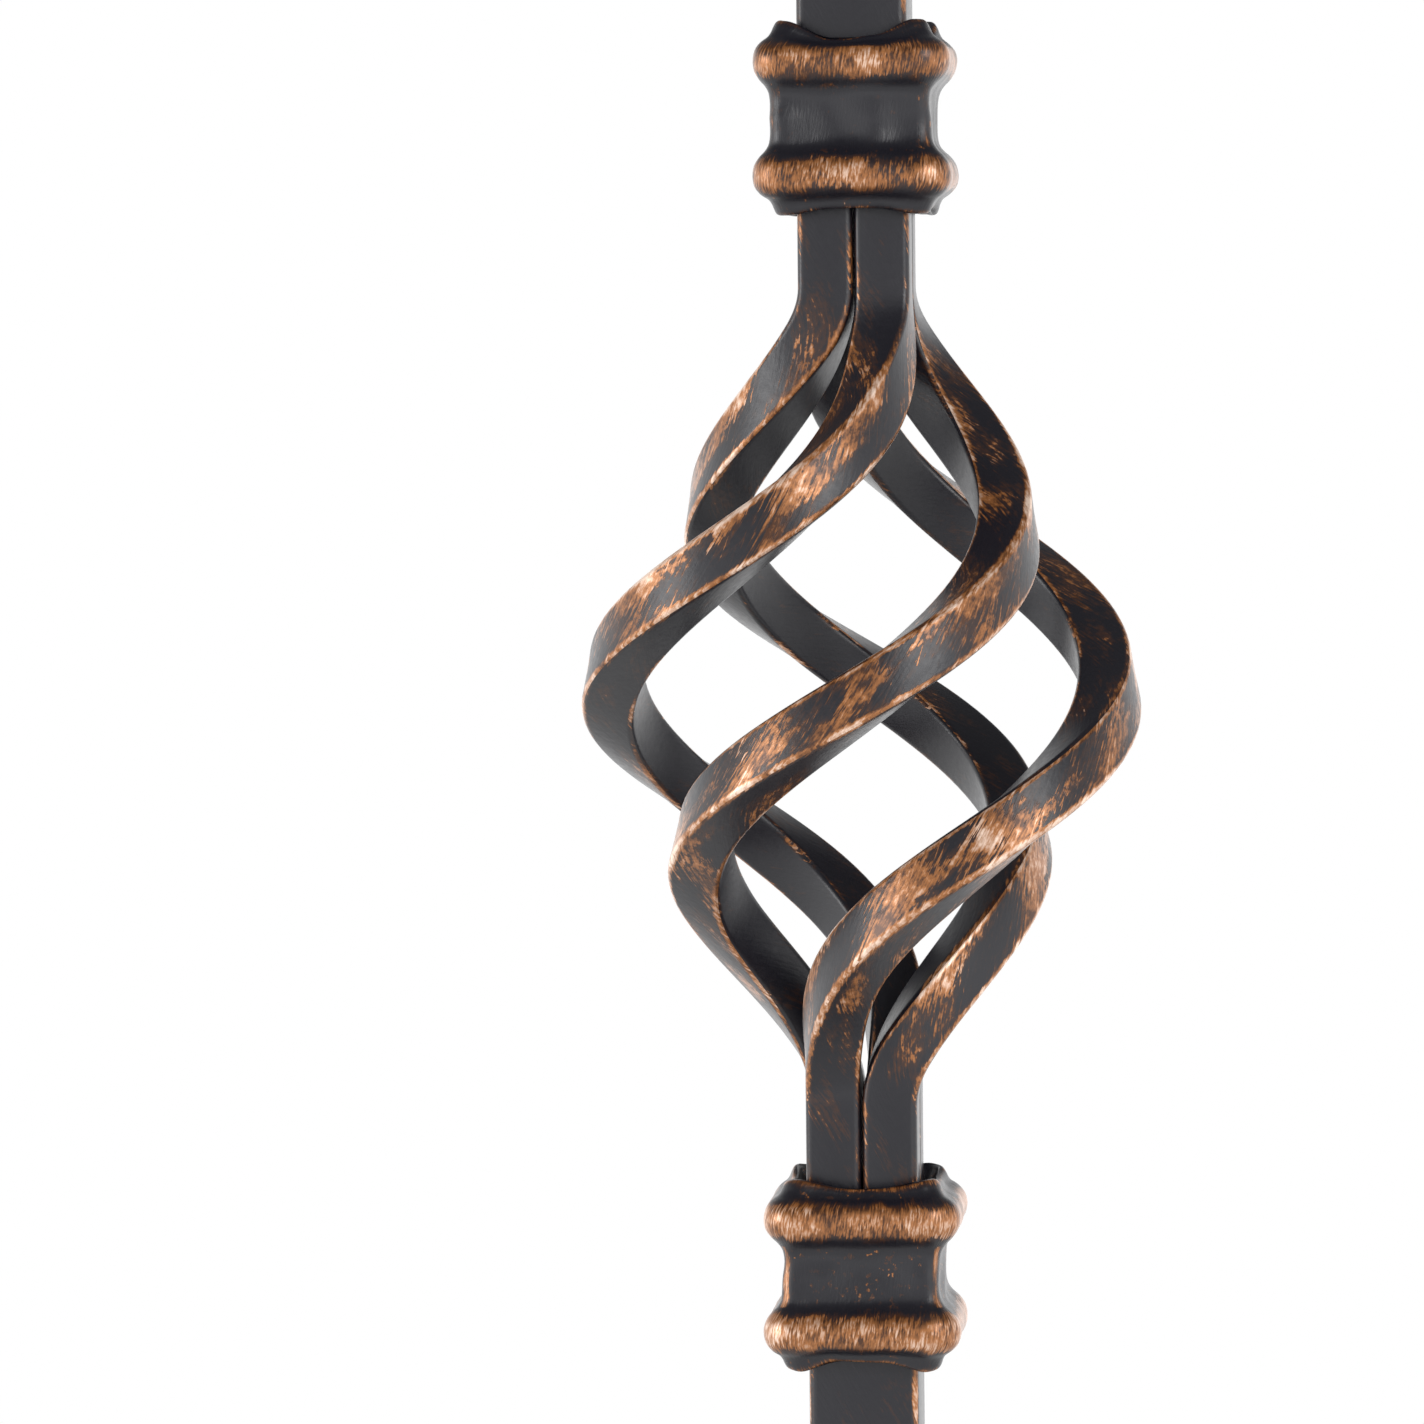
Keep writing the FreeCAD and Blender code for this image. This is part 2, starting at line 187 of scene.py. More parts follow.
def drawn_bar(name, side, corner, heights):
    """Square bar with rounded edges and a ring of vertices at each height, as stock before it is bent."""
    piece = start_from(name, bpy.ops.mesh.primitive_plane_add, size=side, location=(0, 0, heights[0]))
    bpy.ops.object.transform_apply(location=True)
    bpy.ops.object.mode_set(mode="EDIT")
    bpy.ops.mesh.select_all(action="SELECT")
    bpy.ops.mesh.bevel(offset=corner, segments=CORNER_SEGMENTS, affect="VERTICES")
    for low, high in zip(heights, heights[1:]):
        bpy.ops.mesh.extrude_region_move(TRANSFORM_OT_translate={"value": (0, 0, high - low)})
    bpy.ops.mesh.select_all(action="SELECT")
    bpy.ops.mesh.normals_make_consistent(inside=False)
    bpy.ops.object.mode_set(mode="OBJECT")
    return piece


def paint_grain(piece, side, wear):
    """Store for each face corner how far it lies around and along the bar, in mm, and how worn that face is.

    Around is 0 on the edge at +X +Y and grows to both sides, so the seam is on the opposite edge."""
    mesh = piece.data
    grain = mesh.attributes.new("grain", "FLOAT_VECTOR", "CORNER")
    for face in mesh.polygons:
        middle = face.center
        sign = 1 if middle.y > middle.x else -1
        worn = wear(middle)
        for corner in face.loop_indices:
            place = mesh.vertices[mesh.loops[corner].vertex_index].co
            reach = side / 2 / max(abs(place.x), abs(place.y))
            around = sign * (side - (place.x + place.y) * reach)
            grain.data[corner].vector = (around * MILLIMETRES, place.z * MILLIMETRES, worn)


def move_vertices(piece, law):
    """Bend the piece: each vertex goes where the law puts it."""
    for vertex in piece.data.vertices:
        vertex.co = law(vertex.co)
    piece.data.update()


def finish_piece(piece, node, material):
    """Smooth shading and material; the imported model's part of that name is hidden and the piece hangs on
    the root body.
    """
    bpy.ops.object.select_all(action="DESELECT")
    piece.select_set(True)
    bpy.context.view_layer.objects.active = piece
    bpy.ops.object.shade_smooth_by_angle(angle=SMOOTH_ANGLE)
    piece.data.materials.clear()
    piece.data.materials.append(material)
    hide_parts(node)
    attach(piece, "root")


def steps(start, end, count):
    return [start + (end - start) * step / count for step in range(count + 1)]


def eased(share, easing):
    """Runs from 0 to 1 with the share, with a soft start and end."""
    share = min(max(share, 0), 1)
    if share < easing:
        done = share ** 2 / (2 * easing)
    elif share > 1 - easing:
        done = 1 - easing - (1 - share) ** 2 / (2 * easing)
    else:
        done = share - easing / 2
    return done / (1 - easing)


class BALUSTER_OT_bars(bpy.types.Operator):
    """Make the two square bars, each with one full twist, and the turned dowel at the top"""
    bl_idname = "baluster.bars"
    bl_label = "Bars"

    def execute(self, context):
        size = sizes()
        shoulder = size.total - size.dowel_length
        lower = self.twisted_bar("lower_bar", 0.0, size.lower_twist, size.middle - size.weld, wear=-0.2)
        upper = self.twisted_bar("upper_bar", size.middle + size.weld, size.upper_twist, shoulder, wear=-0.4)
        self.turn_shoulder(upper, shoulder)
        self.add_dowel(upper)
        finish = copper_brushed_coating("bar", size.bar_side, edges=1.2)
        for piece in (lower, upper):
            finish_piece(piece, "welded_ironwork", finish)
        return {"FINISHED"}

    def twisted_bar(self, name, foot, twist, head, wear):
        """Bar from foot to head with one full turn from the height twist on."""
        size = sizes()
        heights = steps(foot, twist, STRAIGHT_STEPS)[:-1]
        heights += steps(twist, twist + size.twist_length, TWIST_STEPS)
        heights += steps(twist + size.twist_length, head, STRAIGHT_STEPS)[1:]
        piece = drawn_bar(name, size.bar_side, size.bar_corner, heights)
        paint_grain(piece, size.bar_side, lambda place: wear)

        def twisted(place):
            share = min(max((place.z - twist) / size.twist_length, 0), 1)
            return Matrix.Rotation(2 * math.pi * share, 3, "Z") @ place

        move_vertices(piece, twisted)
        return piece

    def turn_shoulder(self, piece, shoulder):
        """Draw the bar's end in to a narrow ring around the dowel, as the lathe leaves it."""
        size = sizes()
        ring = 0.0003

        def turned(place):
            if place.z < shoulder - 1e-6:
                return place
            radius = math.hypot(place.x, place.y)
            shrink = min(1, (size.dowel_radius + ring) / radius)
            return Vector((place.x * shrink, place.y * shrink, place.z))

        bpy.ops.object.select_all(action="DESELECT")
        piece.select_set(True)
        bpy.context.view_layer.objects.active = piece
        bpy.ops.object.mode_set(mode="EDIT")
        bpy.ops.mesh.select_all(action="SELECT")
        bpy.ops.mesh.bisect(plane_co=(0, 0, shoulder - size.shoulder_drop), plane_no=(0, 0, 1))
        bpy.ops.object.mode_set(mode="OBJECT")
        move_vertices(piece, turned)

    def add_dowel(self, bar):
        """Turned dowel, sunk into the bar's end and drilled across."""
        size = sizes()
        sunk = 0.004
        drill_length = 0.03
        height = size.dowel_length + sunk
        dowel = start_from("dowel", bpy.ops.mesh.primitive_cylinder_add, vertices=DOWEL_SIDES,
                           radius=size.dowel_radius, depth=height, location=(0, 0, size.total - height / 2))
        bpy.ops.object.transform_apply(location=True)
        bpy.ops.object.mode_set(mode="EDIT")
        bpy.ops.mesh.select_all(action="DESELECT")
        bpy.ops.object.mode_set(mode="OBJECT")
        for edge in dowel.data.edges:
            edge.select = all(dowel.data.vertices[end].co.z > size.total - 1e-6 for end in edge.vertices)
        bpy.ops.object.mode_set(mode="EDIT")
        bpy.ops.mesh.select_mode(type="EDGE")
        bpy.ops.mesh.bevel(offset=size.dowel_round, segments=CORNER_SEGMENTS)
        bpy.ops.object.mode_set(mode="OBJECT")
        drill = start_from("drill", bpy.ops.mesh.primitive_cylinder_add, vertices=HOLE_SIDES,
                           radius=size.hole_radius, depth=drill_length,
                           location=(0, 0, size.total - size.hole_drop), rotation=(math.pi / 2, 0, 0))
        bpy.context.view_layer.objects.active = dowel
        hole = dowel.modifiers.new("pin_hole", "BOOLEAN")
        hole.object = drill
        hole.operation = "DIFFERENCE"
        bpy.ops.object.modifier_apply(modifier=hole.name)
        bpy.data.objects.remove(drill)
        # a round dowel has no edges that catch the brush, so all of it counts as the middle of a flat
        flat_middle = 3.2
        wear = 0.05
        grain = dowel.data.attributes.new("grain", "FLOAT_VECTOR", "CORNER")
        for loop in dowel.data.loops:
            place = dowel.data.vertices[loop.vertex_index].co
            grain.data[loop.index].vector = (flat_middle, place.z * MILLIMETRES, wear)
        bpy.ops.object.select_all(action="DESELECT")
        dowel.select_set(True)
        bar.select_set(True)
        bpy.context.view_layer.objects.active = bar
        bpy.ops.object.join()


class BALUSTER_OT_basket_rods(bpy.types.Operator):
    """Make the four square rods that wind around the basket"""
    bl_idname = "baluster.basket_rods"
    bl_label = "Basket rods"

    def execute(self, context):
        size = sizes()
        first = self.wound_rod()
        finish = copper_brushed_coating("rod", size.rod_side, edges=0.5)
        for index in range(RODS):
            piece = first if index == 0 else first.copy()
            if index:
                piece.data = first.data.copy()
                piece.data.transform(Matrix.Rotation(2 * math.pi * index / RODS, 4, "Z"))
                context.collection.objects.link(piece)
            piece.name = f"basket_rod_{index + 1}"
            piece.data.name = piece.name
        for index in range(RODS):
            piece = bpy.data.objects[f"basket_rod_{index + 1}"]
            finish_piece(piece, "welded_ironwork", finish)
        return {"FINISHED"}

    def centre(self, height):
        """Middle of the rod's section at a height above the basket's middle, its angle around the axis,
        and the share of the way from the lower bend to the upper one."""
        size = sizes()
        share = min(max(0.5 + height / (2 * size.bend), 0), 1)
        wave = math.sin(math.pi * share)
        floor = size.softness ** size.fullness
        full = (1 + size.softness ** 2) ** (size.fullness / 2)
        swell = ((wave ** 2 + size.softness ** 2) ** (size.fullness / 2) - floor) / (full - floor)
        bundle = (size.rod_side + size.rod_gap) / math.sqrt(2)
        radius = bundle + (size.basket_radius - bundle) * swell
        angle = math.pi / 4 + size.turn * eased(share, size.easing)
        middle = Vector((radius * math.cos(angle), radius * math.sin(angle), size.middle + height))
        return middle, angle, share

    def wound_rod(self):
        size = sizes()
        heights = steps(-size.weld, -size.bend, SHANK_STEPS)[:-1]
        heights += steps(-size.bend, size.bend, WINDING_STEPS)
        heights += steps(size.bend, size.weld, SHANK_STEPS)[1:]
        piece = drawn_bar("basket_rod_1", size.rod_side, size.rod_corner, heights)

        def wear(place):
            """How much the brush reached a face, most where the basket swells and a little more below.

            The face at +X stays outside all along; its neighbours are outside above or below."""
            share = self.centre(place.z)[2]
            level = min(1, 2.2 * math.sin(math.pi * share))
            low = 1 - share
            if abs(place.x) > abs(place.y):
                return 0.1 * low + 0.64 * level if place.x > 0 else -0.12
            if place.y < 0:
                return 0.03 + 0.55 * level * eased((share - 0.35) / 0.4, 0.3)
            return 0.1 * low + 0.44 * level * eased((0.65 - share) / 0.4, 0.3)

        paint_grain(piece, size.rod_side, wear)
        self.measure_along(piece, heights)

        def wound(place):
            middle, angle, share = self.centre(place.z)
            nudge = 1e-5
            tangent = (self.centre(place.z + nudge)[0] - self.centre(place.z - nudge)[0]).normalized()
            outward = Vector((math.cos(angle), math.sin(angle), 0))
            outward = (outward - outward.dot(tangent) * tangent).normalized()
            turned = (share - size.section_start) / (1 - size.section_start)
            roll = size.section_turn * eased(turned, size.easing)
            edge = outward * math.cos(roll) + tangent.cross(outward) * math.sin(roll)
            return (middle + edge * (place.x + place.y) / math.sqrt(2)
                    + tangent.cross(edge) * (place.y - place.x) / math.sqrt(2))

        move_vertices(piece, wound)
        return piece

    def measure_along(self, piece, heights):
        """Put the length along the bent rod in place of its height."""
        middles = [self.centre(height)[0] for height in heights]
        along = {round(heights[0], 7): 0.0}
        travelled = 0.0
        for index in range(1, len(heights)):
            travelled += (middles[index] - middles[index - 1]).length
            along[round(heights[index], 7)] = travelled
        keys = sorted(along)
        for value in piece.data.attributes["grain"].data:
            height = value.vector[1] / MILLIMETRES
            nearest = min(keys, key=lambda key: abs(key - height))
            value.vector = (value.vector[0], along[nearest] * MILLIMETRES, value.vector[2])


class BALUSTER_OT_collars(bpy.types.Operator):
    """Make the two cast collars that cover the welds"""
    bl_idname = "baluster.collars"
    bl_label = "Collars"

    def execute(self, context):
        size = sizes()
        finish = copper_brushed_casting()
        for name, height, arches, brushing in (
            ("upper_collar", size.weld, (1.5, 0.6), (1.14, 1.08, 0.6, 0.3)),
            ("lower_collar", -size.weld, (0.75, 0.9), (1.28, 1.28, 1.2, 0.0)),
        ):
            piece = self.cast_collar(name, size.middle + height, arches, brushing)
            finish_piece(piece, name, finish)
        return {"FINISHED"}

    def section(self):
        """Closed section of the casting: half width, height, and how much copper the brush leaves there."""
        size = sizes()
        # the waist and the beads are drawn a little smaller, to leave room for the casting's lumps
        waist = size.waist / 2 - 0.00025
        swell = size.bead / 2 - 0.00015 - waist
        bead = size.bead_spacing / 2
        rim = size.rim / 2
        end = size.collar_height / 2
        upper = [(waist + swell * out, bead * up, copper) for out, up, copper in (
            (0.0, 0.0, 0.0), (0.02, 0.24, 0.0), (0.12, 0.43, 0.0), (0.33, 0.55, 0.15), (0.64, 0.66, 0.6),
            (0.90, 0.80, 0.95), (1.0, 0.98, 1.0), (0.90, 1.16, 0.95), (0.60, 1.31, 0.5), (0.27, 1.40, 0.12))]
        upper += [(rim + 0.0003, end - 0.0011, 0.0), (rim + 0.0001, end - 0.0006, 0.3),
                  (rim - 0.0002, end - 0.0001, 0.68), (rim - 0.0006, end, 0.35),
                  (size.mouth / 2 + 0.0001, end - 0.0001, 0.1), (size.mouth / 2 - 0.0001, end - 0.0007, 0.0)]
        smooth = []
        for index in range(len(upper) - 1):
            before, start, stop, after = (upper[max(index - 1, 0)], upper[index], upper[index + 1],
                                          upper[min(index + 2, len(upper) - 1)])
            measures = list(zip(before, start, stop, after))
            for share in (0, 1 / 3, 2 / 3):
                smooth.append(tuple(self.between(*values, share) for values in measures))
        smooth += [upper[-1], (size.bore / 2, end - size.mouth_depth, 0.0)]
        lower = [(half, -height, copper) for half, height, copper in reversed(smooth[1:])]
        return smooth + [(size.bore / 2, 0.0, 0.0)] + lower

    def between(self, before, start, stop, after, share):
        """Smooth curve through four values."""
        return 0.5 * (2 * start + (stop - before) * share
                      + (2 * before - 5 * start + 4 * stop - after) * share ** 2
                      + (3 * start - before - 3 * stop + after) * share ** 3)

    def ring_point(self, place, half, at_rim=0.0):
        """Point of a rounded square by its number around the ring, and the direction outwards there."""
        size = sizes()
        sharpest = 0.0006
        corner = max(sharpest, size.waist_corner + half - size.waist / 2 + size.rim_round * at_rim)
        inner = half - corner
        quarter, step = divmod(place, FLAT_STEPS + CORNER_STEPS)
        if step < FLAT_STEPS:
            outward = Vector((1, 0, 0))
            point = Vector((half, inner * (2 * step / FLAT_STEPS - 1), 0))
        else:
            angle = math.pi / 2 * (step - FLAT_STEPS) / CORNER_STEPS
            outward = Vector((math.cos(angle), math.sin(angle), 0))
            point = Vector((inner, inner, 0)) + outward * corner
        turn = Matrix.Rotation(math.pi / 2 * quarter, 3, "Z")
        return turn @ point, turn @ outward

    def cast_collar(self, name, height, arches, brushing):
        """Rings extruded from a circle, closed to a sleeve and then put on the casting's section."""
        size = sizes()
        section = self.section()
        count = 4 * (FLAT_STEPS + CORNER_STEPS)
        piece = start_from(name, bpy.ops.mesh.primitive_circle_add, vertices=count, radius=size.waist / 2,
                           fill_type="NOTHING")
        bpy.ops.object.mode_set(mode="EDIT")
        bpy.ops.mesh.select_all(action="SELECT")
        for _ in section[1:]:
            bpy.ops.mesh.extrude_edges_move(TRANSFORM_OT_translate={"value": (0, 0, ROW_STEP)})
        bpy.ops.mesh.select_all(action="DESELECT")
        bpy.ops.mesh.select_non_manifold()
        bpy.ops.mesh.bridge_edge_loops()
        bpy.ops.object.mode_set(mode="OBJECT")

        mesh = piece.data
        around = [0.0]
        for place in range(count):
            gap = self.ring_point(place + 1, size.bead / 2)[0] - self.ring_point(place, size.bead / 2)[0]
            around.append(around[-1] + gap.length)
        rows = [round(vertex.co.z / ROW_STEP) for vertex in mesh.vertices]
        places = [round(math.atan2(vertex.co.y, vertex.co.x) / (2 * math.pi) * count) % count
                  for vertex in mesh.vertices]
        copper = []
        for vertex, row, place in zip(mesh.vertices, rows, places):
            vertex.co, left = self.cast_point(place, section[row], height, arches, brushing)
            copper.append(left)
        grain = mesh.attributes.new("grain", "FLOAT_VECTOR", "CORNER")
        for face in mesh.polygons:
            seam = any(places[vertex] == count - 1 for vertex in face.vertices)
            for corner in face.loop_indices:
                vertex = mesh.loops[corner].vertex_index
                place = count if seam and places[vertex] == 0 else places[vertex]
                level = mesh.vertices[vertex].co.z
                grain.data[corner].vector = (around[place] * MILLIMETRES, level * MILLIMETRES, copper[vertex])
        mesh.update()
        bpy.ops.object.mode_set(mode="EDIT")
        bpy.ops.mesh.select_all(action="SELECT")
        bpy.ops.mesh.normals_make_consistent(inside=False)
        bpy.ops.object.mode_set(mode="OBJECT")
        return piece

    def cast_point(self, place, station, height, arches, brushing):
        """Place of one vertex of the casting, with its arched rims and its lumps, and the copper left on it.

        The arches are those of the upper and lower rim, as shares of the usual one. The brushing tells how
        much copper the upper bead, the lower bead and the waist's corners have, and how clean the rest is."""
        size = sizes()
        half, level, copper = station
        end = size.collar_height / 2
        near_end = max(0.0, (abs(level) / end - RIM_START) / (1 - RIM_START))
        point, outward = self.ring_point(place, half, near_end)
        along = min(abs(point.x), abs(point.y)) / max(abs(point.x), abs(point.y))
        ear = 0.5 - 0.5 * math.cos(math.pi * min(1, max(0, along - EAR_START) / EAR_RISE))
        end_index = 0 if level > 0 else 1
        copper = copper * brushing[end_index] - (1 - copper) * brushing[3]
        if abs(level) < CORNER_STRIP and along > CORNER_START:
            copper = max(copper, brushing[2] * (along - CORNER_START) / (1 - CORNER_START))
        level -= math.copysign(size.arch * arches[end_index] * (1 - ear) * near_end, level)
        spot = Vector((point.x, point.y, height + level))
        outside = half > size.mouth / 2 + 0.0002
        if outside:
            # upright folds 5 mm wide and 11 mm high, deepest in the waist, lumps of 3 mm and a wavy rim
            fold = noise.noise(Vector((spot.x * 190, spot.y * 190, spot.z * 90)))
            fold_depth = 0.0002 + 0.0008 * max(0, 1 - abs(level) / FOLD_REACH)
            lump = fold * fold_depth + noise.noise(spot * 330) * 0.00014
            lump += 0.0002 * ear * near_end
            wave = noise.noise(spot * 260) * 0.0004 * near_end
            spot += outward * (lump - 0.0002) + Vector((0, 0, wave))
        return spot, copper


def add_node(tree, kind, settings=None, **links):
    """Add one shader node, set its properties, then set or link its inputs by name or number."""
    node = tree.nodes.new(kind)
    for name, value in (settings or {}).items():
        setattr(node, name, value)
    for name, value in links.items():
        socket = node.inputs[int(name[1:])] if name[1:].isdigit() else node.inputs[name.replace("_", " ")]
        if isinstance(value, bpy.types.NodeSocket):
            tree.links.new(value, socket)
        else:
            socket.default_value = value
    return node


def new_material(name):
    material = bpy.data.materials.new(name)
    material.use_nodes = True
    material.node_tree.nodes.clear()
    return material


def rgba(value):
    return (*value, 1.0)


def weighted(tree, base, *terms):
    """A base value plus other values, each times its weight."""
    total = base
    for value, weight in terms:
        total = add_node(tree, "ShaderNodeMath", {"operation": "MULTIPLY_ADD"}, _0=value, _1=weight,
                         _2=total).outputs[0]
    return total


def brush_marks(tree, vector, size_mm, low, high, tilt=0.0, detail=3.0, roughness=0.6, seed=0.0):
    """Ragged marks of the given width and length on millimetre coordinates, turned by a tilt.

    They are made from noise: none where it is under the low value, full where it is over the high one."""
    turned = add_node(tree, "ShaderNodeMapping", Vector=vector, Rotation=(0, 0, math.radians(tilt)))
    scaled = add_node(tree, "ShaderNodeMapping", Vector=turned.outputs[0], Location=(seed, seed, 0),
                      Scale=(1 / size_mm[0], 1 / size_mm[1], 0))
    ragged = add_node(tree, "ShaderNodeTexNoise", Vector=scaled.outputs[0], Scale=1.0, Detail=detail,
                      Roughness=roughness)
    return add_node(tree, "ShaderNodeMapRange", SOFT_STEP, Value=ragged.outputs[0], From_Min=low,
                    From_Max=high).outputs[0]


def bristled(tree, vector, bristles, reach):
    """Shift the coordinates along the strokes, so that each bristle starts and stops at its own place."""
    shift = weighted(tree, -reach / 2, (bristles, reach))
    offset = add_node(tree, "ShaderNodeCombineXYZ", Y=shift).outputs[0]
    return add_node(tree, "ShaderNodeVectorMath", {"operation": "ADD"}, _0=vector, _1=offset).outputs[0]


def copper_over_black(material, cover, strokes, where, clouds):
    """Shader of copper paint where cover is above 0, thin at first, over the black coating."""
    tree = material.node_tree
    tint = colours()
    copper = add_node(tree, "ShaderNodeMapRange", SOFT_STEP, Value=cover, From_Max=0.16).outputs[0]
    # light and dark clouds of about 6 mm in the paint, with fine mottling; the lightest reach the pale end,
    # partly a painted highlight
    mottle = add_node(tree, "ShaderNodeTexNoise", Vector=where, Scale=160.0, Detail=6.0,
                      Roughness=0.65).outputs[0]
    shade = weighted(tree, -clouds / 2 - 0.1, (cover, 0.42), (strokes, 0.32), (mottle, clouds))
    ramp = add_node(tree, "ShaderNodeValToRGB", Fac=shade)
    ramp.color_ramp.elements[0].position = 0.0
    ramp.color_ramp.elements[0].color = rgba(tint.copper_dark)
    # the pale end is partly thick copper and partly a painted highlight, reached where cover, strokes and
    # clouds are highest
    ramp.color_ramp.elements[1].position = 0.8
    ramp.color_ramp.elements[1].color = rgba(tint.pale_copper_and_painted_highlight)
    middle = ramp.color_ramp.elements.new(0.35)
    middle.color = rgba(tint.copper)
    # thin brown film that the brush leaves around the copper
    film = add_node(tree, "ShaderNodeMapRange", SOFT_STEP, Value=cover, From_Min=-0.42, From_Max=0.05,
                    To_Max=0.5).outputs[0]
    stained = add_node(tree, "ShaderNodeMix", {"data_type": "RGBA"}, _0=film, _6=rgba(tint.black),
                       _7=rgba(tint.copper_dark)).outputs[2]
    paint = add_node(tree, "ShaderNodeMix", {"data_type": "RGBA"}, _0=copper, _6=stained, _7=ramp.outputs[0])
    metallic = weighted(tree, 0.0, (copper, 0.5))
    lacquer = weighted(tree, 0.0, (copper, 0.4))
    # orange-peel of the coating: bumps of about 0.8 mm
    peel = add_node(tree, "ShaderNodeTexNoise", Vector=where, Scale=1250.0, Detail=2.0).outputs[0]
    rough = weighted(tree, 0.28, (copper, 0.04), (peel, 0.14))
    height = weighted(tree, 0.0, (copper, 0.4), (strokes, 0.3), (peel, 0.5))
    bump = add_node(tree, "ShaderNodeBump", Strength=0.3, Distance=0.00012, Height=height)
    shader = add_node(tree, "ShaderNodeBsdfPrincipled", Base_Color=paint.outputs[2], Metallic=metallic,
                      Roughness=rough, Normal=bump.outputs[0], Coat_Weight=lacquer, Coat_Roughness=0.3)
    add_node(tree, "ShaderNodeOutputMaterial", Surface=shader.outputs[0])
    return material


def copper_brushed_coating(stock, side, edges):
    """Satin black powder coating with copper paint dry-brushed over edges and outer faces.

    The eye sees dark, softly shining flats, ragged patches of bright streaks, and a bright line on the edges.
    Edges says how much copper those lines have."""
    material = new_material(f"Powder-coated iron {stock}, copper dry-brushed")
    tree = material.node_tree
    grain = add_node(tree, "ShaderNodeAttribute", {"attribute_name": "grain"}).outputs["Vector"]
    parts = add_node(tree, "ShaderNodeSeparateXYZ", Vector=grain)
    around, wear = parts.outputs["X"], parts.outputs["Z"]
    where = add_node(tree, "ShaderNodeTexCoord").outputs["Object"]
    from_edge = add_node(tree, "ShaderNodeMath", {"operation": "PINGPONG"}, _0=around,
                         _1=side / 2 * MILLIMETRES).outputs[0]
    # the bright line runs from the edge to 0.3 mm beside it and has faded out at 0.95 mm
    edge = add_node(tree, "ShaderNodeMapRange", SOFT_STEP, Value=from_edge, From_Min=0.3, From_Max=0.95,
                    To_Min=1.0, To_Max=0.0).outputs[0]
    worn_edge = add_node(tree, "ShaderNodeMath", {"operation": "MULTIPLY"}, _0=edge, _1=wear).outputs[0]
    # strokes of single bristles, 0.35 mm wide and about 7 mm long, slanting across the bar
    streaks = brush_marks(tree, grain, (0.35, 7.0), 0.3, 0.7, tilt=-30.0, detail=2.0)
    # patches that the brush reached, 4 mm wide and 11 mm long
    brushed = bristled(tree, grain, streaks, 3.0)
    patches = brush_marks(tree, brushed, (4.0, 11.0), 0.36, 0.64, tilt=-18.0, roughness=0.55)
    # pinholes and specks of about 0.6 mm
    specks = brush_marks(tree, grain, (0.5, 1.2), 0.3, 0.7, tilt=-30.0, detail=2.5, seed=15.0)
    # single hairs on the well-brushed faces, 0.25 mm wide
    hairs = brush_marks(tree, grain, (0.25, 7.0), 0.62, 0.7, tilt=-40.0, detail=1.0, seed=40.0)
    reached = add_node(tree, "ShaderNodeMapRange", SOFT_STEP, Value=wear, From_Min=0.2,
                       From_Max=0.7).outputs[0]
    worn_hairs = add_node(tree, "ShaderNodeMath", {"operation": "MULTIPLY"}, _0=hairs, _1=reached).outputs[0]
    cover = weighted(tree, -1.36, (wear, 0.8), (edge, edges), (worn_edge, 0.8), (patches, 0.85),
                     (worn_hairs, 0.35), (streaks, 0.25), (specks, 0.35))
    strokes = weighted(tree, 0.0, (streaks, 0.5), (specks, 0.5))
    return copper_over_black(material, cover, strokes, where, 1.8)


def copper_brushed_casting():
    """Cast sleeve in the same coating, with copper brushed across its beads.

    The eye sees two copper rolls with short upright strokes and ragged borders on a dark, lumpy casting."""
    material = new_material("Powder-coated casting, copper dry-brushed")
    tree = material.node_tree
    grain = add_node(tree, "ShaderNodeAttribute", {"attribute_name": "grain"}).outputs["Vector"]
    wear = add_node(tree, "ShaderNodeSeparateXYZ", Vector=grain).outputs["Z"]
    where = add_node(tree, "ShaderNodeTexCoord").outputs["Object"]
    # upright strokes of single bristles, 0.25 mm wide
    streaks = brush_marks(tree, grain, (0.25, 1.6), 0.3, 0.7, tilt=8.0, detail=2.0)
    # patches that the brush reached, about 4 mm
    brushed = bristled(tree, grain, streaks, 1.0)
    patches = brush_marks(tree, brushed, (4.0, 3.0), 0.35, 0.65)
    # flecks of about 0.8 mm on the bare casting
    grit = add_node(tree, "ShaderNodeTexNoise", Vector=where, Scale=1200.0, Detail=2.0).outputs[0]
    flecks = add_node(tree, "ShaderNodeMapRange", SOFT_STEP, Value=grit, From_Min=0.56,
                      From_Max=0.63).outputs[0]
    bare = add_node(tree, "ShaderNodeMapRange", SOFT_STEP, Value=wear, From_Max=0.3, To_Min=0.65,
                    To_Max=0.0).outputs[0]
    spotted = add_node(tree, "ShaderNodeMath", {"operation": "MULTIPLY"}, _0=flecks, _1=bare).outputs[0]
    # pinholes and specks of about 0.5 mm
    specks = brush_marks(tree, grain, (0.35, 0.7), 0.3, 0.7, tilt=8.0, detail=2.0, seed=15.0)
    cover = weighted(tree, -1.38, (wear, 1.1), (patches, 0.6), (streaks, 0.35), (specks, 0.2),
                     (spotted, 1.0))
    return copper_over_black(material, cover, streaks, where, 1.1)


